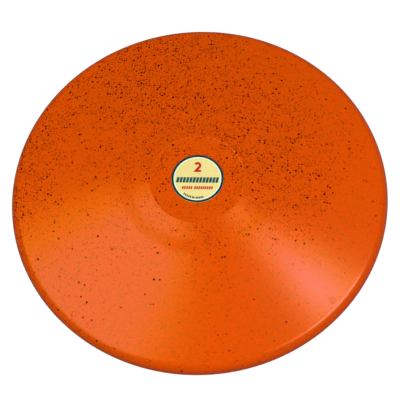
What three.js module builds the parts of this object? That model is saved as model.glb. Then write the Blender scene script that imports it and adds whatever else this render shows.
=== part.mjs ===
// A soft practice discus of the 2 kg class. It is a hollow moulded skin, filled with dense ballast
// through a hole in its lower hub face. A barbed plug closes the hole, and a round label let into
// each hub face carries the weight mark and covers the plug.
// Millimetres, +Z up, with the origin at the centre of the lower hub face.
import * as THREE from "three";

// Overall form of the moulding
const discusDiameter = 220; // over the parting bead on the rim
const hubThickness = 45; // from hub face to hub face
const hubDiameter = 56; // flat centre of each face
const rimRadius = 6.4; // rounding of the edge

// Each face flattens a little on a narrow land before it runs straight down to the rim
const landInnerDiameter = 73;
const landOuterDiameter = 90;
const landInnerDrop = 1.7; // below the hub face
const landOuterDrop = 3.15; // below the hub face

// Bead that the mould's joint leaves round the rim
const beadHeight = 0.15;
const beadWidth = 0.9;
const beadCrestShare = 1 / 3; // width of the bead's crest

// Wall of the skin, and the cavity that holds the ballast
const skinWall = 5; // at the hub faces
const cavityHubDiameter = 54; // flat centre of the cavity's floor and roof
const rimSolidWidth = 12; // solid material from the edge to the cavity
const cavityRimRadius = 3;

// Filling hole, its countersunk seat and the boss that thickens the wall round it
const fillerHoleDiameter = 12;
const fillerSeatDiameter = 20;
const fillerSeatDepth = 2;
const fillerBossDiameter = 28;
const fillerBossHeight = 4;

// Labels and the shallow pockets that they lie in
const labelDiameter = 30;
const labelThickness = 0.4;
const labelEdgeChamfer = 0.12;
const labelRecess = 0.1; // how far the label's face lies below the hub face
const labelPocketClearance = 0.3; // all round the label

// Plug
const plugClearance = 0.3; // between the plug and the walls beside it
const plugBarbOverhang = 1.1; // how far the barb reaches past the hole's wall
const plugBarbHeight = 3;
const plugNoseDiameter = 8;

// Ballast
const ballastClearance = 0.3; // between the ballast and the cavity's walls

// Fineness of the turned surfaces
const turnSteps = 84;
const rimArcSteps = 8; // on each half of the rim
const cavityArcSteps = 4; // on each half of the cavity's edge

const discusRadius = discusDiameter / 2;
const midHeight = hubThickness / 2;
const point = (radius, height) => new THREE.Vector2(radius, height);

// Points of a half profile mirrored to below the mid plane, in the same order
const below = (points) => points.map((p) => point(p.x, -p.y));

// Angle above the mid plane at which a straight line from a point touches a circle on that plane
function tangentAngle(from, centreRadius, circleRadius) {
  const toPoint = Math.atan2(from.y, from.x - centreRadius);
  const distance = Math.hypot(from.x - centreRadius, from.y);
  return toPoint - Math.acos(circleRadius / distance);
}

// Points of an arc about a centre on the mid plane, from one angle down to another
function arcPoints(centreRadius, circleRadius, fromAngle, toAngle, steps) {
  return Array.from({ length: steps + 1 }, (_, i) => {
    const angle = fromAngle + ((toAngle - fromAngle) * i) / steps;
    return point(centreRadius + circleRadius * Math.cos(angle), circleRadius * Math.sin(angle));
  });
}

// Turns a profile of radii and heights above the mid plane about the Z axis
function turned(profile) {
  const raised = profile.map((p) => point(p.x, p.y + midHeight));
  return new THREE.LatheGeometry(raised, turnSteps).rotateX(Math.PI / 2);
}

// Upper half of the outer face, from the hub's edge to the parting bead's crest
function faceProfile() {
  const centreRadius = discusRadius - beadHeight - rimRadius;
  const landOuter = point(landOuterDiameter / 2, midHeight - landOuterDrop);
  const beadAngle = Math.asin(beadWidth / 2 / rimRadius);
  const startAngle = tangentAngle(landOuter, centreRadius, rimRadius);
  return [
    point(hubDiameter / 2, midHeight),
    point(landInnerDiameter / 2, midHeight - landInnerDrop),
    landOuter,
    ...arcPoints(centreRadius, rimRadius, startAngle, beadAngle, rimArcSteps),
    point(discusRadius, (beadWidth / 2) * beadCrestShare),
  ];
}

// Upper half of the ballast cavity, from the edge of its flat roof to the mid plane.
// An inset shrinks it evenly, for what fills it.
function cavityProfile(inset) {
  const circleRadius = cavityRimRadius - inset;
  const centreRadius = discusRadius - rimSolidWidth - cavityRimRadius;
  const roofEdge = point(cavityHubDiameter / 2, midHeight - skinWall - inset);
  const startAngle = tangentAngle(roofEdge, centreRadius, circleRadius);
  return [roofEdge, ...arcPoints(centreRadius, circleRadius, startAngle, 0, cavityArcSteps)];
}

// Heights below the mid plane that the skin, the plug and the ballast share
const pocketFloor = midHeight - labelRecess - labelThickness;
const seatFloor = pocketFloor - fillerSeatDepth;
const cavityRoof = midHeight - skinWall;
const bossTop = cavityRoof - fillerBossHeight;
const pocketRadius = labelDiameter / 2 + labelPocketClearance;
const holeRadius = fillerHoleDiameter / 2;
const barbRadius = holeRadius + plugBarbOverhang;
const barbBase = bossTop - plugClearance;
const plugTip = barbBase - plugBarbHeight;

function outerSkin() {
  const face = faceProfile();
  const cavity = cavityProfile(0);
  return turned([
    point(0, cavityRoof),
    ...cavity,
    ...below(cavity).toReversed().slice(1),
    point(fillerBossDiameter / 2, -cavityRoof),
    point(fillerBossDiameter / 2, -bossTop),
    point(holeRadius, -bossTop),
    point(holeRadius, -seatFloor),
    point(fillerSeatDiameter / 2, -seatFloor),
    point(fillerSeatDiameter / 2, -pocketFloor),
    point(pocketRadius, -pocketFloor),
    point(pocketRadius, -midHeight),
    ...below(face),
    ...face.toReversed(),
    point(pocketRadius, midHeight),
    point(pocketRadius, pocketFloor),
    point(0, pocketFloor),
  ]);
}

// The fill takes the cavity's shape, with a well over the boss and the plug's barb
function ballastCore() {
  const fill = cavityProfile(ballastClearance);
  const wellRadius = fillerBossDiameter / 2 + ballastClearance;
  const barbWellRadius = barbRadius + ballastClearance;
  return turned([
    point(0, -plugTip + ballastClearance),
    point(barbWellRadius, -plugTip + ballastClearance),
    point(barbWellRadius, -bossTop + ballastClearance),
    point(wellRadius, -bossTop + ballastClearance),
    point(wellRadius, -cavityRoof + ballastClearance),
    ...below(fill),
    ...fill.toReversed().slice(1),
    point(0, cavityRoof - ballastClearance),
  ]);
}

// Flanged plug, pushed in from below until its barb springs out over the boss
function fillerPlug() {
  const flangeRadius = fillerSeatDiameter / 2 - plugClearance;
  const shankRadius = holeRadius - plugClearance;
  return turned([
    point(0, -pocketFloor),
    point(flangeRadius, -pocketFloor),
    point(flangeRadius, -seatFloor),
    point(shankRadius, -seatFloor),
    point(shankRadius, -barbBase),
    point(barbRadius, -barbBase),
    point(plugNoseDiameter / 2, -plugTip),
    point(0, -plugTip),
  ]);
}

// A disc lying on its pocket's floor: side is 1 for the upper hub face and -1 for the lower one
function label(side) {
  const back = side * pocketFloor;
  const front = back + side * labelThickness;
  const radius = labelDiameter / 2;
  const edge = [
    point(0, back),
    point(radius, back),
    point(radius, front - side * labelEdgeChamfer),
    point(radius - labelEdgeChamfer, front),
    point(0, front),
  ];
  return turned(side > 0 ? edge : edge.reverse());
}

function finish(colour, roughness) {
  return new THREE.MeshStandardMaterial({ color: colour, roughness, metalness: 0 });
}

const softSkin = finish(0xd9500a, 0.42);
const ballastFill = finish(0x3b3733, 0.85);
const plugPlastic = finish(0xb8480f, 0.5);
const labelFilm = finish(0xf4e39c, 0.35);

const discus = new THREE.Group();
const pieces = [
  ["outer_skin", outerSkin(), softSkin],
  ["ballast_core", ballastCore(), ballastFill],
  ["filler_plug", fillerPlug(), plugPlastic],
  ["upper_label", label(1), labelFilm],
  ["lower_label", label(-1), labelFilm],
];
for (const [name, geometry, material] of pieces) {
  const mesh = new THREE.Mesh(geometry, material);
  mesh.name = name;
  discus.add(mesh);
}

export default discus;
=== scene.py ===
import math

import bmesh
import bpy
from mathutils import Matrix, Vector


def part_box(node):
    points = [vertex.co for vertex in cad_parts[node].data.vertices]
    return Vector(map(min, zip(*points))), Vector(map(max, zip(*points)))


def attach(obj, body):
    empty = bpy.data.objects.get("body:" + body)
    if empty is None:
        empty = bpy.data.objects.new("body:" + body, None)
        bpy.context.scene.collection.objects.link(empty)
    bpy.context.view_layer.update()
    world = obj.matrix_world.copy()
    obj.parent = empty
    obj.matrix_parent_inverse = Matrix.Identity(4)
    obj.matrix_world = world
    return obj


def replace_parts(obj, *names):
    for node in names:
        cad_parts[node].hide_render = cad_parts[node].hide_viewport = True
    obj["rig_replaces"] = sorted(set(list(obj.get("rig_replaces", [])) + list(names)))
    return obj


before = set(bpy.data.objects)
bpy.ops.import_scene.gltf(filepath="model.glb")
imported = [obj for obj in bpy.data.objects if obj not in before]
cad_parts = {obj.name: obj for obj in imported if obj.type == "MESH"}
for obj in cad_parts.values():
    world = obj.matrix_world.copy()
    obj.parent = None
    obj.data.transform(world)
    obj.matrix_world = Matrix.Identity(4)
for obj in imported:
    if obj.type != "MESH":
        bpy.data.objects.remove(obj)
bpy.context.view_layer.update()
scene = bpy.context.scene
millimetre = 0.001
print("frame loaded, nodes:", ", ".join(sorted(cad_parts)))


def boxSize(nodeName):
    # outer radius, lowest and highest point of a turned node, in millimetres
    low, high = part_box(nodeName)
    return high.x / millimetre, low.z / millimetre, high.z / millimetre


discusRadius, lowestFace, highestFace = boxSize("outer_skin")
midHeight = (lowestFace + highestFace) / 2
labelRadius, labelBack, labelFront = boxSize("upper_label")
middle = Vector((0, 0, midHeight * millimetre))

# Camera, worked out from the outline, the hub and the label in the photograph
cameraValues = {
    "distance": 0.8637,  # metres from the middle of the discus
    "azimuth": 6.4,  # degrees round the discus, which sets the label level in the picture
    "elevation": 65.06,
    "roll": -5.346,
    "pan": 0.0188,  # degrees to the right of the middle of the discus
    "tilt": -0.1988,  # degrees above it
    "lens": 132.72,
    "clipStart": 0.01,  # metres
}
viewTurn = Matrix.Rotation(math.radians(cameraValues["azimuth"]), 3, "Z")


def addCamera(values):
    elevation = math.radians(values["elevation"])
    back = viewTurn @ Vector((0, -math.cos(elevation), math.sin(elevation)))
    right = viewTurn @ Vector((1, 0, 0))
    up = back.cross(right)
    forward = right * math.radians(values["pan"]) + up * math.radians(values["tilt"]) - back
    forward.normalize()
    right = (right - forward * right.dot(forward)).normalized()
    axes = Matrix((right, right.cross(forward), -forward)).transposed()
    axes = axes @ Matrix.Rotation(math.radians(values["roll"]), 3, "Z")
    bpy.ops.object.camera_add()
    camera = bpy.context.object
    camera.name = "photo_camera"
    camera.matrix_world = Matrix.Translation(middle + back * values["distance"]) @ axes.to_4x4()
    camera.data.lens = values["lens"]
    camera.data.clip_start = values["clipStart"]
    scene.camera = camera


addCamera(cameraValues)
print("camera placed")


# Shader maths: a sum or product of wires adds its Math nodes, and Shader.node makes any other node
class Wire:
    def __init__(self, shader, socket):
        self.shader = shader
        self.socket = socket

    def output(self, name):
        return Wire(self.shader, self.socket.node.outputs[name])

    def maths(self, operation, *values):
        return self.shader.node("ShaderNodeMath", {"operation": operation}, dict(enumerate(values)))

    def __add__(self, other):
        return self.maths("ADD", self, other)

    def __sub__(self, other):
        return self.maths("SUBTRACT", self, other)

    def __rsub__(self, other):
        return self.maths("SUBTRACT", other, self)

    def __mul__(self, other):
        return self.maths("MULTIPLY", self, other)

    def __truediv__(self, other):
        return self.maths("DIVIDE", self, other)

    def __rtruediv__(self, other):
        return self.maths("DIVIDE", other, self)

    def __lt__(self, other):
        return self.maths("LESS_THAN", self, other)

    __radd__ = __add__
    __rmul__ = __mul__


class Shader:
    def __init__(self, owner):
        owner.use_nodes = True
        self.tree = owner.node_tree
        self.tree.nodes.clear()

    def node(self, kind, settings=None, inputs=None, output=0):
        made = self.tree.nodes.new(kind)
        for key, value in (settings or {}).items():
            setattr(made, key, value)
        for key, value in (inputs or {}).items():
            if isinstance(value, Wire):
                self.tree.links.new(value.socket, made.inputs[key])
            else:
                made.inputs[key].default_value = value
        return Wire(self, made.outputs[output]) if made.outputs else None

    def mix(self, share, first, second):
        # the colours of a Mix node are its sockets 6 and 7 and its output 2
        return self.node("ShaderNodeMix", {"data_type": "RGBA"}, {0: share, 6: first, 7: second}, 2)

    def fade(self, value, start, end, low=0.0, high=1.0):
        # runs smoothly from low at start to high at end
        inputs = {"Value": value, "From Min": start, "From Max": end, "To Min": low, "To Max": high}
        return self.node("ShaderNodeMapRange", {"interpolation_type": "SMOOTHSTEP"}, inputs)

    def noise(self, place, size, detail=2, output="Fac"):
        inputs = {"Vector": place, "Scale": 1 / size, "Detail": detail}
        return self.node("ShaderNodeTexNoise", {}, inputs, output)

    def cells(self, place, size):
        return self.node("ShaderNodeTexVoronoi", {"feature": "F1"}, {"Vector": place, "Scale": 1 / size})

    def vector(self, operation, values, output=0):
        return self.node("ShaderNodeVectorMath", {"operation": operation}, values, output)

    def place(self):
        # position on the piece in millimetres
        metres = self.node("ShaderNodeTexCoord", {}, {}, "Object")
        return self.vector("SCALE", {0: metres, "Scale": 1 / millimetre})

    def bump(self, height, depth, under=None):
        # a height from 0 to 1 raises the surface by up to depth, in millimetres
        inputs = {"Height": height, "Distance": depth * millimetre, "Strength": 1.0}
        if under:
            inputs["Normal"] = under
        return self.node("ShaderNodeBump", {}, inputs)


def linearColour(red, green, blue):
    # from the 0 to 255 values of a picture to the amounts that a shader takes
    shares = [value / 255 for value in (red, green, blue)]
    return [s / 12.92 if s <= 0.04045 else ((s + 0.055) / 1.055) ** 2.4 for s in shares] + [1.0]


def newFinish(name):
    material = bpy.data.materials.new(name)
    return material, Shader(material)


def setSurface(shader, inputs):
    gloss = shader.node("ShaderNodeBsdfPrincipled", {}, inputs)
    shader.node("ShaderNodeOutputMaterial", {}, {"Surface": gloss})


# Modelling: turned pieces and how a finished piece is handed over
def roundCorners(corners, arcSteps=5, hold=0.04):
    # an outline of (radius, height) from corners, each of which may add a rounding radius;
    # a held edge on each side keeps the straight stretches straight when they are shaded
    outline = []
    for index, (radius, height, *rounding) in enumerate(corners):
        corner = Vector((radius, height))
        if not rounding:
            outline.append(corner)
            continue
        toLast = Vector(corners[index - 1][:2]) - corner
        toNext = Vector(corners[index + 1][:2]) - corner
        tangent = rounding[0] / math.tan(toLast.angle(toNext) / 2)
        start = corner + toLast.normalized() * tangent
        end = corner + toNext.normalized() * tangent
        outline.append(start + toLast.normalized() * hold)
        for step in range(arcSteps + 1):
            share = step / arcSteps
            outline.append(start.lerp(corner, share).lerp(corner.lerp(end, share), share))
        outline.append(end + toNext.normalized() * hold)
    return [(p.x, p.y) for p in outline]


def arcOutline(centreRadius, centreHeight, radius, fromAngle, toAngle, steps):
    angles = [fromAngle + (toAngle - fromAngle) * step / steps for step in range(steps + 1)]
    return [
        (centreRadius + radius * math.cos(angle), centreHeight + radius * math.sin(angle))
        for angle in angles
    ]


def turnPiece(name, outline, steps):
    # draws one ring of edges out of another along the outline; an outline that starts on the axis
    # ends on it too, and any other one ends where it starts
    closedOnAxis = outline[0][0] == 0
    rings = outline[1:-1] if closedOnAxis else outline
    radius, height = rings[0]
    bpy.ops.object.select_all(action="DESELECT")
    bpy.ops.mesh.primitive_circle_add(vertices=steps, radius=radius * millimetre)
    piece = bpy.context.object
    piece.name = piece.data.name = name
    bpy.ops.object.mode_set(mode="EDIT")
    bpy.ops.mesh.select_mode(type="VERT")
    bpy.ops.mesh.select_all(action="SELECT")
    bpy.ops.transform.translate(value=(0, 0, height * millimetre))
    if closedOnAxis:
        bpy.ops.mesh.extrude_region_move()
        bpy.ops.mesh.merge(type="CENTER")
        bpy.ops.mesh.select_all(action="DESELECT")
        bpy.ops.mesh.select_non_manifold(use_wire=False, use_multi_face=False, use_verts=False)
    for nextRadius, nextHeight in rings[1:]:
        climb = (nextHeight - height) * millimetre
        bpy.ops.mesh.extrude_region_move(TRANSFORM_OT_translate={"value": (0, 0, climb)})
        growth = nextRadius / radius
        bpy.ops.transform.resize(value=(growth, growth, 1), center_override=(0, 0, 0))
        radius, height = nextRadius, nextHeight
    if closedOnAxis:
        bpy.ops.mesh.extrude_region_move()
        bpy.ops.mesh.merge(type="CENTER")
    finishMesh(smoothAngle=30)
    return piece


def finishMesh(smoothAngle, mergeDistance=0.001):
    # merges doubles, turns every face outwards and leaves edit mode with smooth shading
    bpy.ops.mesh.select_all(action="SELECT")
    bpy.ops.mesh.remove_doubles(threshold=mergeDistance * millimetre)
    bpy.ops.mesh.normals_make_consistent(inside=False)
    bpy.ops.object.mode_set(mode="OBJECT")
    bpy.ops.object.shade_smooth_by_angle(angle=math.radians(smoothAngle))


def dressPiece(piece, finish, stoodFor=None):
    piece.data.materials.clear()
    piece.data.materials.append(finish)
    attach(piece, "root")
    if stoodFor:
        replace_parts(piece, stoodFor)


def joinPieces(name, pieces):
    bpy.ops.object.select_all(action="DESELECT")
    for piece in pieces:
        piece.select_set(True)
    bpy.context.view_layer.objects.active = pieces[0]
    if len(pieces) > 1:
        bpy.ops.object.join()
    joined = bpy.context.object
    joined.name = joined.data.name = name
    return joined


def mirroredDown(outline):
    # the same points below the mid plane, in the opposite order
    return [(radius, 2 * midHeight - height) for radius, height in reversed(outline)]


# Skin, in millimetres
skinValues = {
    "turnSteps": 288,
    "hubRadius": 27.55,
    "hubRounding": 2.0,
    "lipInner": 26.8,  # small step up, left by the mould's centre insert, just inside the hub's edge
    "lipOuter": 27.07,
    "lipHeight": 0.068,
    "lipRounding": 0.3,
    "landInnerRadius": 37.8,
    "landInnerDrop": 2.085,
    "landInnerRounding": 76.0,
    "landOuterRadius": 45.3,
    "landOuterDrop": 3.26,
    "landOuterRounding": 38.0,
    "rimRadius": 6.4,
    "rimSteps": 22,
    "beadHeight": 0.15,
    "beadWidth": 0.9,
    "beadCrestShare": 1 / 3,  # width of the bead's crest
    "mark": {  # round mould mark near the rim: a low ring with a pip in it
        "radius": 102.4, "angle": 312.4, "height": 0.1, "sink": 0.03, "steps": 36,
        "ringMiddle": 1.7, "ringWidth": 0.7, "pipRadius": 0.7,
        "pipShoulderShares": (0.5, 0.8),  # of the pip's radius and height
    },
    "pocketClearance": 0.3,
    "pocketRounding": 0.1,
    "wall": 5.0,
    "cavityHubRadius": 27.0,
    "rimSolidWidth": 12.0,
    "cavityRimRadius": 3.0,
    "cavityRimSteps": 8,
    "bossRadius": 14.0,
    "bossHeight": 4.0,
    "bossRounding": 0.4,
    "seatRadius": 10.0,
    "seatDepth": 2.0,
    "holeRadius": 6.0,
    "finish": {
        "deepOrange": (204, 79, 3),
        "paleOrange": (224, 75, 1),
        "toneRange": (0.35, 0.65),
        "cloudSize": 34,
        "cloudShare": 0.14,
        "mottleSize": 1.4,
        "streakCount": 60,
        "streakLength": 60,
        "streakStart": 1,  # added to the radius, which is 0 on the axis
        # painted highlight along the hub's lip, not wear: its colour, place and reach
        "paintedLipHighlight": {
            "radius": 26.95, "width": 0.6, "angle": -15, "reach": (-14, 24), "strength": 0.6,
            "colour": (230, 104, 18),
        },
        "crowdingEverywhere": 0.045,
        "crowdedRegions": [  # right, away, reach and amount, as seen in the picture
            (-20, 78, 105, 0.5),
            (42, 16, 66, 0.43),
            (46, -18, 42, 0.38),
            (6, -42, 30, 0.28),
            (-108, 5, 36, 0.95),
            (-100, 44, 36, 1.0),
            (-26, 100, 34, 0.12),
            (-30, 2, 56, 0.2),
            (-76, -34, 50, 0.12),
            (-104, -24, 30, 0.2),
            (-76, -76, 36, 0.05),
        ],
        "patchSize": 9,
        "patchRange": (0.3, 0.7),
        "patchCrowding": (0.35, 1.65),  # times the crowding, in the thinnest and the thickest patches
        "raggedSize": 0.5,
        "raggedReach": 0.35,
        "grains": [
            {
                "cell": 1.65, "smallest": 0.2, "largest": 0.67, "softness": 0.04, "strength": 1.0,
                "crowdingShare": 0.63, "darkest": (30, 0, 0), "palest": (168, 0, 0),
            },
            {
                "cell": 1.0, "smallest": 0.15, "largest": 0.38, "softness": 0.08, "strength": 0.7,
                "crowdingShare": 1.9, "darkest": (106, 0, 0), "palest": (166, 16, 0),
            },
        ],
        "darkBySizeShare": 0.7,  # of a grain's darkness; the rest is chance
        "roughness": 0.2,
        "cloudRoughness": 0.04,
        "streakRoughness": 0.04,
        "grainRoughness": 0.15,  # on top, where a grain shows
        "grainMetal": 0.85,  # keeps white gloss off the grains
        "grainSink": 1.0,
        "ior": 1.5,
        "specularTint": (1.0, 0.55, 0.25, 1.0),
        "waveSize": 16,
        "waveDepth": 0.05,
        "poreSize": 0.6,
        "poreDepth": 0.005,
    },
}


def tangentArc(corner, centreRadius, radius, toAngle, steps):
    # the arc about the mid plane that a straight line from the corner runs into
    away = Vector(corner) - Vector((centreRadius, midHeight))
    start = math.atan2(away.y, away.x) - math.acos(radius / away.length)
    return arcOutline(centreRadius, midHeight, radius, start, toAngle, steps)


def skinFace(values):
    # upper face, from the label's pocket to the parting bead
    rimCentre = discusRadius - values["beadHeight"] - values["rimRadius"]
    landOuter = (values["landOuterRadius"], highestFace - values["landOuterDrop"])
    beadAngle = math.asin(values["beadWidth"] / 2 / values["rimRadius"])
    rim = tangentArc(landOuter, rimCentre, values["rimRadius"], beadAngle, values["rimSteps"])
    pocket = labelRadius + values["pocketClearance"]
    hubFace = highestFace - values["lipHeight"]
    face = [
        (pocket, labelBack, values["pocketRounding"]),
        (pocket, hubFace, values["pocketRounding"]),
        (values["lipInner"], hubFace, values["lipRounding"]),
        (values["lipOuter"], highestFace, values["lipRounding"]),
        (values["hubRadius"], highestFace, values["hubRounding"]),
        (values["landInnerRadius"], highestFace - values["landInnerDrop"], values["landInnerRounding"]),
        (*landOuter, values["landOuterRounding"]),
        rim[0],
    ]
    bead = (discusRadius, midHeight + values["beadWidth"] / 2 * values["beadCrestShare"])
    return roundCorners([(0, labelBack), *face])[1:] + rim[1:] + [bead]


def skinCavity(values):
    # the cavity's upper half, from its roof to the mid plane
    roof = highestFace - values["wall"]
    rimCentre = discusRadius - values["rimSolidWidth"] - values["cavityRimRadius"]
    roofEdge = (values["cavityHubRadius"], roof)
    return [roofEdge] + tangentArc(
        roofEdge, rimCentre, values["cavityRimRadius"], 0, values["cavityRimSteps"]
    )


def addSkin(values, finish):
    face, cavity = skinFace(values), skinCavity(values)
    floor = lowestFace + values["wall"]
    bossTop = floor + values["bossHeight"]
    pocketFloor = lowestFace + highestFace - labelBack
    seatFloor = pocketFloor + values["seatDepth"]
    filling = [
        (values["bossRadius"], floor, values["bossRounding"]),
        (values["bossRadius"], bossTop, values["bossRounding"]),
        (values["holeRadius"], bossTop, values["bossRounding"]),
        (values["holeRadius"], seatFloor),
        (values["seatRadius"], seatFloor),
        (values["seatRadius"], pocketFloor),
    ]
    lowerFace = mirroredDown(face)
    outline = (
        [(0, highestFace - values["wall"])]
        + cavity
        + mirroredDown(cavity)[1:-1]
        + roundCorners([mirroredDown(cavity)[-1], *filling, lowerFace[-1]])[:-1]
        + list(reversed(lowerFace))
        + list(reversed(face))
        + [(0, labelBack)]
    )
    skin = turnPiece("skin_moulding", outline, values["turnSteps"])
    skin = joinPieces("skin_moulding", [skin, *addMark(values["mark"], face)])
    dressPiece(skin, finish, "outer_skin")


def addMark(mark, face):
    # stands on the straight slope between the land and the rim
    slopeEnd = [point for point in face if point[0] > mark["radius"]][0]
    slopeStart = [point for point in face if point[0] < mark["radius"]][-1]
    run, climb = slopeEnd[0] - slopeStart[0], slopeEnd[1] - slopeStart[1]
    height = slopeStart[1] + climb * (mark["radius"] - slopeStart[0]) / run
    place = (
        viewTurn.to_4x4()
        @ Matrix.Rotation(math.radians(mark["angle"]), 4, "Z")
        @ Matrix.Translation(Vector((mark["radius"], 0, height)) * millimetre)
        @ Matrix.Rotation(-math.atan2(climb, run), 4, "Y")
    )
    inner = mark["ringMiddle"] - mark["ringWidth"] / 2
    outer = mark["ringMiddle"] + mark["ringWidth"] / 2
    low, high = -mark["sink"], mark["height"]
    ring = [(inner, low), (outer, low), (mark["ringMiddle"], high), (inner, low)]
    shareOut, shareUp = mark["pipShoulderShares"]
    pip = [(0, low), (mark["pipRadius"], low), (mark["pipRadius"] * shareOut, high * shareUp), (0, high)]
    pieces = [turnPiece("mark_ring", ring, mark["steps"]), turnPiece("mark_pip", pip, mark["steps"])]
    for piece in pieces:
        bpy.ops.object.select_all(action="DESELECT")
        piece.select_set(True)
        bpy.context.view_layer.objects.active = piece
        piece.matrix_world = place
        bpy.ops.object.transform_apply(location=True, rotation=True, scale=True)
    return pieces


def skinStreaks(shader, level, radius, values):
    # noise drawn out along the radius
    spoke = values["streakCount"] / (radius + values["streakStart"])
    parts = shader.node("ShaderNodeSeparateXYZ", {}, {"Vector": level})
    streakPlace = shader.node("ShaderNodeCombineXYZ", {}, {
        "X": parts.output("X") * spoke,
        "Y": parts.output("Y") * spoke,
        "Z": radius / values["streakLength"],
    })
    return shader.noise(streakPlace, 1)


def paintLipHighlight(shader, level, radius, orange, lipLight):
    # painted highlight: a pale line along the hub's lip, on the side where lamps catch its edge
    angle = math.radians(lipLight["angle"])
    side = viewTurn @ Vector((math.cos(angle), math.sin(angle), 0))
    along = shader.vector("DOT_PRODUCT", {0: level, 1: side}, "Value")
    offLip = radius.maths("ABSOLUTE", radius - lipLight["radius"])
    onLip = shader.fade(offLip, lipLight["width"] / 2, lipLight["width"] / 4)
    highlighted = onLip * shader.fade(along, *lipLight["reach"])
    return shader.mix(highlighted * lipLight["strength"], orange, linearColour(*lipLight["colour"]))


def grainCrowding(shader, place, level, values):
    # how many of the cells hold a grain: more in some regions and patches than in others
    crowding = values["crowdingEverywhere"]
    for x, y, reach, amount in values["crowdedRegions"]:
        centre = viewTurn @ Vector((x, y, 0))
        distance = shader.vector("DISTANCE", {0: level, 1: centre}, "Value")
        crowding = shader.fade(distance, 0, reach, amount, 0) + crowding
    patches = shader.noise(place, values["patchSize"])
    return crowding * shader.fade(patches, *values["patchRange"], *values["patchCrowding"])


def addGrains(shader, place, crowding, orange, values):
    # balls in random cells, cut by the surface; gives the colour with them, and where they show
    ragged = shader.noise(place, values["raggedSize"], detail=1, output="Color")
    offset = shader.vector("SUBTRACT", {0: ragged, 1: (0.5, 0.5, 0.5)})
    offset = shader.vector("SCALE", {0: offset, "Scale": values["raggedReach"]})
    shaken = shader.vector("ADD", {0: place, 1: offset})
    bySize, byChance = values["darkBySizeShare"], 1 - values["darkBySizeShare"]
    anyGrain = 0
    for grain in values["grains"]:
        cell = shader.cells(shaken, grain["cell"])
        chance = shader.node("ShaderNodeSeparateColor", {}, {"Color": cell.output("Color")})
        size = chance.output("Green") * (grain["largest"] - grain["smallest"]) + grain["smallest"]
        spot = shader.fade(cell.output("Distance") * grain["cell"] - size, grain["softness"], 0)
        shown = spot * (chance < crowding * grain["crowdingShare"]) * grain["strength"]
        shade = chance.output("Green") * bySize + chance.output("Blue") * byChance
        colour = shader.mix(shade, linearColour(*grain["palest"]), linearColour(*grain["darkest"]))
        orange = shader.mix(shown, orange, colour)
        anyGrain = shown + anyGrain
    return orange, anyGrain


def skinFinish(values):
    material, shader = newFinish("soft_vinyl")
    place = shader.place()
    level = shader.vector("MULTIPLY", {0: place, 1: (1, 1, 0)})
    radius = shader.vector("LENGTH", {0: level}, "Value")

    # drifts of tone in the vinyl
    cloud = shader.noise(place, values["cloudSize"], detail=3)
    mottle = shader.noise(place, values["mottleSize"], detail=3)
    tone = cloud * values["cloudShare"] + mottle * (1 - values["cloudShare"])
    deep, pale = linearColour(*values["deepOrange"]), linearColour(*values["paleOrange"])
    orange = shader.mix(shader.fade(tone, *values["toneRange"]), deep, pale)

    # adds the painted highlight along the hub's lip
    orange = paintLipHighlight(shader, level, radius, orange, values["paintedLipHighlight"])
    crowding = grainCrowding(shader, place, level, values)
    orange, anyGrain = addGrains(shader, place, crowding, orange, values)

    evenRoughness = values["roughness"] - (values["cloudRoughness"] + values["streakRoughness"]) / 2
    roughness = (
        cloud * values["cloudRoughness"]
        + skinStreaks(shader, level, radius, values) * values["streakRoughness"]
        + evenRoughness
        + anyGrain * values["grainRoughness"]
    )
    waves = shader.bump(shader.noise(place, values["waveSize"]), values["waveDepth"])
    pores = shader.noise(place, values["poreSize"], detail=3) - anyGrain * values["grainSink"]
    setSurface(shader, {
        "Base Color": orange,
        "Metallic": anyGrain * values["grainMetal"],
        "Roughness": roughness,
        "Normal": shader.bump(pores, values["poreDepth"], waves),
        "IOR": values["ior"],
        "Specular Tint": values["specularTint"],
    })
    return material


addSkin(skinValues, skinFinish(skinValues["finish"]))
print("skin turned")


# Core, in millimetres
coreValues = {
    "turnSteps": 144,
    "clearance": 0.3,  # all round
    "plugWellRadius": 7.4,
    "edgeRounding": 0.5,
    "finish": {
        "granuleSize": 1.8,
        "granuleEdge": (0.28, 0.45),  # from a granule to the binder, as shares of its size
        "darkIron": (84, 80, 78),
        "paleIron": (128, 120, 112),
        "binder": (48, 43, 40),
        "ironMetal": 0.8,
        "roughness": (0.75, 0.45),  # of the binder and of the iron
        "crumbSize": 0.5,
        "crumbHeightShare": 0.2,  # of a granule's height
        "depth": 0.25,
    },
}


def addCore(values, finish):
    gap = values["clearance"]
    roof = highestFace - skinValues["wall"] - gap
    floor = lowestFace + skinValues["wall"] + gap
    bossTop = floor + skinValues["bossHeight"]
    plugTop = boxSize("filler_plug")[2] + gap
    rimCentre = discusRadius - skinValues["rimSolidWidth"] - skinValues["cavityRimRadius"]
    roofEdge = (skinValues["cavityHubRadius"], roof)
    edge = tangentArc(
        roofEdge, rimCentre, skinValues["cavityRimRadius"] - gap, 0, skinValues["cavityRimSteps"]
    )
    upper = [roofEdge] + edge
    well = [
        (values["plugWellRadius"], plugTop, values["edgeRounding"]),
        (values["plugWellRadius"], bossTop, values["edgeRounding"]),
        (skinValues["bossRadius"] + gap, bossTop, values["edgeRounding"]),
        (skinValues["bossRadius"] + gap, floor, values["edgeRounding"]),
    ]
    lower = list(reversed(mirroredDown(upper)))
    outline = (
        roundCorners([(0, plugTop), *well, lower[0]])
        + lower[1:-1]
        + list(reversed(upper))
        + [(0, roof)]
    )
    core = turnPiece("ballast_fill", outline, values["turnSteps"])
    dressPiece(core, finish, "ballast_core")


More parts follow.
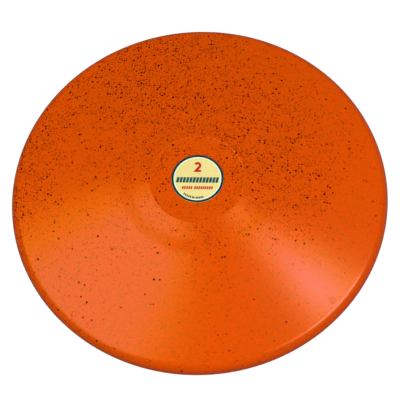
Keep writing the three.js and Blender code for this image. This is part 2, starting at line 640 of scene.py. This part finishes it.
def coreFinish(values):
    material, shader = newFinish("iron_granules")
    place = shader.place()
    cell = shader.cells(place, values["granuleSize"])
    granule = shader.fade(cell.output("Distance"), *values["granuleEdge"], 1, 0)
    chance = shader.node("ShaderNodeSeparateColor", {}, {"Color": cell.output("Color")})
    iron = shader.mix(chance, linearColour(*values["darkIron"]), linearColour(*values["paleIron"]))
    height = granule + shader.noise(place, values["crumbSize"]) * values["crumbHeightShare"]
    setSurface(shader, {
        "Base Color": shader.mix(granule, linearColour(*values["binder"]), iron),
        "Metallic": granule * values["ironMetal"],
        "Roughness": shader.fade(granule, 0, 1, *values["roughness"]),
        "Normal": shader.bump(height, values["depth"]),
    })
    return material


addCore(coreValues, coreFinish(coreValues["finish"]))
print("core turned")


# Plug, in millimetres
plugValues = {
    "turnSteps": 96,
    "clearance": 0.3,  # beside the hole's and the seat's walls
    "barbRadius": 7.1,
    "barbHeight": 3.0,
    "noseRadius": 4.0,
    "rounding": 0.3,
    "finish": {
        "deepOrange": (170, 60, 8),
        "paleOrange": (196, 74, 12),
        "toneSize": 4,
        "toneRange": (0.3, 0.7),
        "roughness": (0.42, 0.54),  # where the tone is deep, and where it is pale
        "poreSize": 0.4,
        "poreDepth": 0.02,
    },
}


def addPlug(values, finish):
    flangeRadius, under, tip = boxSize("filler_plug")
    seatFloor = under + skinValues["seatDepth"]
    shank = skinValues["holeRadius"] - values["clearance"]
    barb = tip - values["barbHeight"]
    outline = roundCorners([
        (0, under),
        (flangeRadius, under, values["rounding"]),
        (flangeRadius, seatFloor, values["rounding"]),
        (shank, seatFloor, values["rounding"]),
        (shank, barb, values["rounding"]),
        (values["barbRadius"], barb, values["rounding"]),
        (values["noseRadius"], tip, values["rounding"]),
        (0, tip),
    ])
    plug = turnPiece("plug_moulding", outline, values["turnSteps"])
    dressPiece(plug, finish, "filler_plug")


def plugFinish(values):
    material, shader = newFinish("plug_plastic")
    place = shader.place()
    tone = shader.noise(place, values["toneSize"], detail=3)
    deep, pale = linearColour(*values["deepOrange"]), linearColour(*values["paleOrange"])
    setSurface(shader, {
        "Base Color": shader.mix(tone, deep, pale),
        "Roughness": shader.fade(tone, *values["toneRange"], *values["roughness"]),
        "Normal": shader.bump(shader.noise(place, values["poreSize"]), values["poreDepth"]),
    })
    return material


addPlug(plugValues, plugFinish(plugValues["finish"]))
print("plug turned")


# Labels and what is printed on them, in millimetres
labelValues = {
    "turnSteps": 144,
    "edgeRounding": 0.12,
    "inkThickness": 0.02,
    "inkSink": 0.005,  # how far the ink reaches into the film
    "border": (13.67, 14.95),  # inner and outer radius
    "hairline": (13.0, 13.67),
    "numeral": {
        "place": (-0.1, 7.3), "width": 4.2, "height": 6.3, "stroke": 1.46, "foot": 1.3,
        "bowlRadius": 1.38, "bowlStart": -38, "bowlSweep": 198, "bowlSteps": 24,
    },
    "bar": {  # runs: first and last block's centre, and how many blocks
        "runs": [(-11.25, 11.25, 13)],
        "width": 1.5, "height": 3.4, "slant": 0.75, "level": -0.9,
    },
    "thinBar": {
        "runs": [(-8.3, -3.3, 5), (-1.3, 8.4, 9)],
        "width": 0.92, "height": 1.8, "slant": 0.3, "level": -5.8,
    },
    "tickRuns": [(232.5, 252.5, 5), (258, 262, 2), (268, 286, 5)],  # the same in degrees
    "tickSize": (0.66, 1.3),
    "tickRadius": 12.1,
    "inks": {  # finish, colour, roughness, and how far its tones lie from that colour
        "film": ("label_film", (232, 218, 134), 0.38, 3),
        "green": ("dark_green_ink", (0, 52, 52), 0.26, 4),
        "teal": ("teal_ink", (0, 80, 82), 0.26, 5),
        "red": ("red_ink", (192, 28, 0), 0.3, 5),
        "white": ("white_ink", (224, 244, 212), 0.36, 3),
    },
    "grainSize": 0.3,
    "grainDepth": 0.002,
    "driftSize": 6,
    "driftShare": 0.6,  # of the tone; the rest is grain
    "toneRange": (0.3, 0.7),
    "roughnessSpread": 0.04,
}


def printedFinish(name, inkColour, roughness, spread, values):
    material, shader = newFinish(name)
    place = shader.place()
    grain = shader.noise(place, values["grainSize"], detail=3)
    drift = shader.noise(place, values["driftSize"])
    tone = drift * values["driftShare"] + grain * (1 - values["driftShare"])
    pale = linearColour(*[min(255, value + spread) for value in inkColour])
    deep = linearColour(*[max(0, value - spread) for value in inkColour])
    smoothest, roughest = roughness - values["roughnessSpread"], roughness + values["roughnessSpread"]
    setSurface(shader, {
        "Base Color": shader.mix(shader.fade(tone, *values["toneRange"]), deep, pale),
        "Roughness": shader.fade(grain, *values["toneRange"], smoothest, roughest),
        "Normal": shader.bump(grain, values["grainDepth"]),
    })
    return material


def addLabelFilm(values, finish):
    outline = roundCorners([
        (0, labelBack),
        (labelRadius, labelBack),
        (labelRadius, labelFront, values["edgeRounding"]),
        (0, labelFront),
    ])
    film = turnPiece("upper_label_film", outline, values["turnSteps"])
    dressPiece(film, finish, "upper_label")
    return film


def addRing(name, values):
    low, high = labelFront - values["inkSink"], labelFront + values["inkThickness"]
    inner, outer = values[name]
    outline = [(inner, low), (outer, low), (outer, high), (inner, high), (inner, low)]
    return turnPiece(name, outline, values["turnSteps"])


def addInkBlock(width, height, slant, values):
    # one slanted block of ink, centred on the axis
    low, high = labelFront - values["inkSink"], labelFront + values["inkThickness"]
    bpy.ops.object.select_all(action="DESELECT")
    bpy.ops.mesh.primitive_plane_add(size=millimetre, location=(0, 0, low * millimetre))
    block = bpy.context.object
    block.scale = (width, height, 1)
    bpy.ops.object.transform_apply(location=True, rotation=True, scale=True)
    bpy.ops.object.mode_set(mode="EDIT")
    mesh = bmesh.from_edit_mesh(block.data)
    for vertex in mesh.verts:
        vertex.select = vertex.co.y > 0
    mesh.select_flush_mode()
    bmesh.update_edit_mesh(block.data)
    bpy.ops.transform.translate(value=(slant * millimetre, 0, 0))
    bpy.ops.mesh.select_all(action="SELECT")
    rise = (high - low) * millimetre
    bpy.ops.mesh.extrude_region_move(TRANSFORM_OT_translate={"value": (0, 0, rise)})
    finishMesh(smoothAngle=10)
    return block


def copyPiece(piece, move, turn=0.0):
    # a copy with its own mesh, moved in millimetres and then turned about the discus's axis
    bpy.ops.object.select_all(action="DESELECT")
    piece.select_set(True)
    bpy.context.view_layer.objects.active = piece
    bpy.ops.object.duplicate()
    made = bpy.context.object
    turning = Matrix.Rotation(turn, 4, "Z")
    made.matrix_world = turning @ Matrix.Translation(Vector(move) * millimetre) @ made.matrix_world
    bpy.ops.object.transform_apply(location=True, rotation=True, scale=True)
    return made


def placesOfRuns(runs):
    # evenly spaced places from each run's first to its last
    return [
        first + (last - first) * index / (count - 1)
        for first, last, count in runs
        for index in range(count)
    ]


def addBar(bar, values):
    first = addInkBlock(bar["width"], bar["height"], bar["slant"], values)
    blocks = [
        copyPiece(first, (x - bar["slant"] / 2, bar["level"], 0))
        for x in placesOfRuns(bar["runs"])
    ]
    bpy.data.objects.remove(first)
    return blocks


def addTicks(values):
    width, height = values["tickSize"]
    bottom = 270  # degrees, where the first tick stands before it is turned
    first = addInkBlock(width, height, 0, values)
    ticks = [
        copyPiece(first, (0, -values["tickRadius"], 0), math.radians(angle - bottom))
        for angle in placesOfRuns(values["tickRuns"])
    ]
    bpy.data.objects.remove(first)
    return ticks


def selectVertices(piece, wanted):
    # leaves just the vertices selected whose place, in millimetres, is wanted
    mesh = bmesh.from_edit_mesh(piece.data)
    for vertex in mesh.verts:
        vertex.select = wanted(vertex.co / millimetre)
    mesh.select_flush_mode()
    bmesh.update_edit_mesh(piece.data)


def addNumeral(numeral, values):
    # the weight mark, in kilograms: a bowl spun from the end of a straight run, cut off above a foot
    stroke, radius = numeral["stroke"], numeral["bowlRadius"]
    right, top = numeral["width"] / 2, numeral["height"] / 2
    footTop = numeral["foot"] - top
    near = 0.01  # millimetres, to find vertices by their place
    start = math.radians(numeral["bowlStart"])
    bowlCentre = Vector((right - radius - stroke / 2, top - radius - stroke / 2, 0))
    bpy.ops.object.select_all(action="DESELECT")
    bpy.ops.mesh.primitive_plane_add(size=millimetre)
    mark = bpy.context.object
    mark.scale = (stroke, numeral["height"], 1)
    mark.location = Vector((radius, -numeral["height"] / 2, 0)) * millimetre
    bpy.ops.object.transform_apply(location=True, rotation=True, scale=True)
    bpy.ops.object.mode_set(mode="EDIT")
    bpy.ops.mesh.select_mode(type="VERT")
    selectVertices(mark, lambda place: abs(place.y) < near)
    sweep = math.radians(numeral["bowlSweep"])
    bpy.ops.mesh.spin(steps=numeral["bowlSteps"], angle=sweep, center=(0, 0, 0), axis=(0, 0, -1))
    bpy.ops.object.mode_set(mode="OBJECT")
    mark.matrix_world = Matrix.Translation(bowlCentre * millimetre) @ Matrix.Rotation(start, 4, "Z")
    bpy.ops.object.transform_apply(location=True, rotation=True, scale=True)
    bpy.ops.object.mode_set(mode="EDIT")
    bpy.ops.mesh.select_all(action="SELECT")
    bpy.ops.mesh.bisect(plane_co=(0, footTop * millimetre, 0), plane_no=(0, -1, 0), clear_outer=True)
    selectVertices(mark, lambda place: place.y < footTop + near)
    slide = Vector((math.tan(start), -1, 0)) * numeral["foot"] * millimetre
    bpy.ops.mesh.extrude_region_move(TRANSFORM_OT_translate={"value": slide})
    places = [vertex.co / millimetre for vertex in bmesh.from_edit_mesh(mark.data).verts]
    rows = {}  # of the foot, by height, with how far right each row reaches
    for place in places:
        if place.y < footTop + near:
            height = round(place.y, 2)
            rows[height] = max(place.x, rows.get(height, -math.inf))
    selectVertices(mark, lambda place: abs(place.x - rows.get(round(place.y, 2), math.inf)) < near)
    bpy.ops.mesh.extrude_region_move()
    bpy.ops.transform.resize(value=(0, 1, 1), center_override=(right * millimetre, 0, 0))
    bpy.ops.mesh.select_all(action="SELECT")
    rise = (values["inkThickness"] + values["inkSink"]) * millimetre
    bpy.ops.mesh.extrude_region_move(TRANSFORM_OT_translate={"value": (0, 0, rise)})
    finishMesh(smoothAngle=10)
    x, y = numeral["place"]
    mark.location = Vector((x, y, labelFront - values["inkSink"])) * millimetre
    bpy.ops.object.transform_apply(location=True, rotation=True, scale=True)
    return mark


def addLowerCopy(piece, name, finish, stoodFor=None):
    # the same film or print on the lower hub face, turned over about the X axis so that it still reads
    bpy.ops.object.select_all(action="DESELECT")
    piece.select_set(True)
    bpy.context.view_layer.objects.active = piece
    bpy.ops.object.duplicate()
    made = bpy.context.object
    made.name = made.data.name = name
    turnOver = Matrix.Rotation(math.pi, 4, "X")
    place = Matrix.Translation(middle) @ turnOver @ Matrix.Translation(-middle)
    made.parent = None
    made.matrix_world = place
    bpy.ops.object.transform_apply(location=True, rotation=True, scale=True)
    if "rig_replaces" in made:
        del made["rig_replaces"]
    dressPiece(made, finish, stoodFor)


def addLabels(values):
    finishes = {ink: printedFinish(*look, values) for ink, look in values["inks"].items()}
    film = addLabelFilm(values, finishes["film"])
    prints = {
        "white": [addRing("hairline", values)],
        "green": [addRing("border", values), *addTicks(values)],
        "teal": addBar(values["bar"], values),
        "red": [addNumeral(values["numeral"], values), *addBar(values["thinBar"], values)],
    }
    for ink, pieces in prints.items():
        made = joinPieces("upper_" + ink + "_print", pieces)
        dressPiece(made, finishes[ink])
        addLowerCopy(made, "lower_" + ink + "_print", finishes[ink])
    addLowerCopy(film, "lower_label_film", finishes["film"], "lower_label")


addLabels(labelValues)
print("labels printed")


# Floor, lamps and world. Directions are right, away and up, as seen in the picture
stageValues = {
    "floorSize": 6.0,  # metres
    "floorShade": 0.12,  # how much light it sends back
    "floorGlow": 0.94,  # what the camera and glossy surfaces see besides
    "ambient": 0.12,
    "inGloss": 0.04,  # how bright gloss sees the white surround, next to the camera
    "sweep": (0.1, 0.2),  # heights, as shares of the sky, between which the surround ends in gloss
}

# Panels that hang level. Places, from the middle of the discus, and sizes are in metres, and turns in
# degrees. The photograph keeps almost no blue at the edges of its highlights, so the softboxes' blue
# comes from panels of its own, which hang a little lower so that both are mirrored
lampValues = [
    {
        "name": "left_softbox_inner", "place": (-0.492, 0.191, 1.2), "size": (1.0, 0.35),
        "turn": -53.8, "radiance": 3.3, "colour": (0.9, 1, 0), "inGloss": True,
    },
    {
        "name": "left_softbox_outer", "place": (-0.9, -0.089, 1.2), "size": (1.28, 0.64),
        "turn": -53.8, "radiance": 3.3, "colour": (0.9, 1, 0), "inGloss": True,
    },
    {
        "name": "left_softbox_edge", "place": (-1.392, -0.449, 1.2), "size": (1.3, 0.58),
        "turn": -53.8, "radiance": 1.6, "colour": (1, 1, 0.3), "inGloss": True,
    },
    {
        "name": "left_softbox_inner_blue", "place": (-0.476, 0.115, 1.19), "size": (0.66, 0.28),
        "turn": -53.8, "radiance": 3.6, "colour": (0, 0, 1), "inGloss": True,
    },
    {
        "name": "left_softbox_outer_blue", "place": (-0.85, -0.17, 1.19), "size": (0.84, 0.64),
        "turn": -53.8, "radiance": 3.9, "colour": (0, 0, 1), "inGloss": True,
    },
    {
        "name": "right_softbox_tip", "place": (0.32, 0.16, 1.2), "size": (0.19, 0.2),
        "turn": 42, "radiance": 4.4, "colour": (1, 1, 0), "inGloss": True,
    },
    {
        "name": "right_softbox_inner", "place": (0.555, -0.024, 1.2), "size": (0.29, 0.28),
        "turn": 36, "radiance": 7.2, "colour": (1, 1, 0), "inGloss": True,
    },
    {
        "name": "right_softbox_outer", "place": (1.15, -0.345, 1.2), "size": (1.0, 0.45),
        "turn": -15, "radiance": 8.2, "colour": (1, 1, 0), "inGloss": True,
    },
    {
        "name": "right_softbox_near", "place": (0.908, -0.67, 1.2), "size": (0.9, 0.3),
        "turn": -15, "radiance": 6.0, "colour": (1, 1, 0.17), "inGloss": True, "inDiffuse": False,
    },
    {
        "name": "right_softbox_tip_blue", "place": (0.34, 0.13, 1.19), "size": (0.08, 0.08),
        "turn": 42, "radiance": 5.0, "colour": (0, 0, 1), "inGloss": True,
    },
    {
        "name": "right_softbox_inner_blue", "place": (0.519, -0.01, 1.19), "size": (0.1, 0.13),
        "turn": -70, "radiance": 40.0, "colour": (0.04, 0.04, 1), "inGloss": True,
    },
    {
        "name": "right_softbox_outer_blue", "place": (1.085, -0.385, 1.19), "size": (0.74, 0.44),
        "turn": -23, "radiance": 18.5, "colour": (0.03, 0.03, 1), "inGloss": True,
    },
    {
        "name": "right_softbox_near_blue", "place": (0.765, -0.562, 1.18), "size": (0.23, 0.416),
        "turn": 5, "radiance": 9.9, "colour": (0, 0, 1), "inGloss": True,
    },
    {
        "name": "near_left_lamp", "place": (-1.6, -1.6, 2.0), "size": (1.4, 1.4),
        "turn": 0, "radiance": 3.7, "colour": (1, 0.84, 0.95), "inGloss": False,
    },
    {
        "name": "near_right_lamp", "place": (1.6, -1.6, 2.0), "size": (1.4, 1.4),
        "turn": 0, "radiance": 4.8, "colour": (1, 0.74, 0.95), "inGloss": False,
    },
]


def seenAndMirrored(shader):
    # 1 for rays that see the white background: from the camera, or by way of gloss or glass
    path = shader.node("ShaderNodeLightPath")
    return path.output("Is Camera Ray"), path.output("Is Glossy Ray") + path.output("Is Transmission Ray")


def addFloor(values):
    bpy.ops.object.select_all(action="DESELECT")
    bpy.ops.mesh.primitive_plane_add(size=values["floorSize"], location=(0, 0, lowestFace * millimetre))
    floor = bpy.context.object
    floor.name = "floor"
    material, shader = newFinish("white_floor")
    seen, mirrored = seenAndMirrored(shader)
    shade = values["floorShade"]
    diffuse = shader.node("ShaderNodeBsdfDiffuse", {}, {"Color": (shade, shade, shade, 1)})
    strength = (seen + mirrored * values["inGloss"]) * values["floorGlow"]
    glow = shader.node("ShaderNodeEmission", {}, {"Strength": strength})
    both = shader.node("ShaderNodeAddShader", {}, {0: diffuse, 1: glow})
    clear = shader.node("ShaderNodeBsdfTransparent")
    under = shader.node("ShaderNodeNewGeometry", {}, {}, "Backfacing")
    oneSided = shader.node("ShaderNodeMixShader", {}, {0: under, 1: both, 2: clear})
    shader.node("ShaderNodeOutputMaterial", {}, {"Surface": oneSided})
    material.cycles.emission_sampling = "NONE"
    floor.data.materials.append(material)


def addWorld(values):
    world = bpy.data.worlds.new("studio")
    scene.world = world
    shader = Shader(world)
    seen, mirrored = seenAndMirrored(shader)
    direction = shader.node("ShaderNodeTexCoord", {}, {}, "Generated")
    height = shader.node("ShaderNodeSeparateXYZ", {}, {"Vector": direction}).output("Z")
    sweep = shader.fade(height, *values["sweep"], 1, 0)
    others = 1 - seen - mirrored
    strength = seen + mirrored * sweep * values["inGloss"] + others * values["ambient"]
    sky = shader.node("ShaderNodeBackground", {}, {"Strength": strength})
    shader.node("ShaderNodeOutputWorld", {}, {"Surface": sky})
    world.cycles.sampling_method = "NONE"


def addLamp(values):
    length, width = values["size"]
    bpy.ops.object.light_add(
        type="AREA",
        location=middle + viewTurn @ Vector(values["place"]),
        rotation=(0, 0, math.radians(cameraValues["azimuth"] + values["turn"])),
    )
    lamp = bpy.context.object
    lamp.name = values["name"]
    lamp.data.shape = "RECTANGLE"
    lamp.data.size = length
    lamp.data.size_y = width
    lamp.data.energy = values["radiance"] * math.pi * length * width
    lamp.data.color = values["colour"]
    lamp.visible_glossy = values["inGloss"]
    lamp.visible_diffuse = values.get("inDiffuse", True)
    lamp.visible_camera = False


addFloor(stageValues)
addWorld(stageValues)
for lamp in lampValues:
    addLamp(lamp)
scene.view_settings.view_transform = "Standard"
print("stage set")
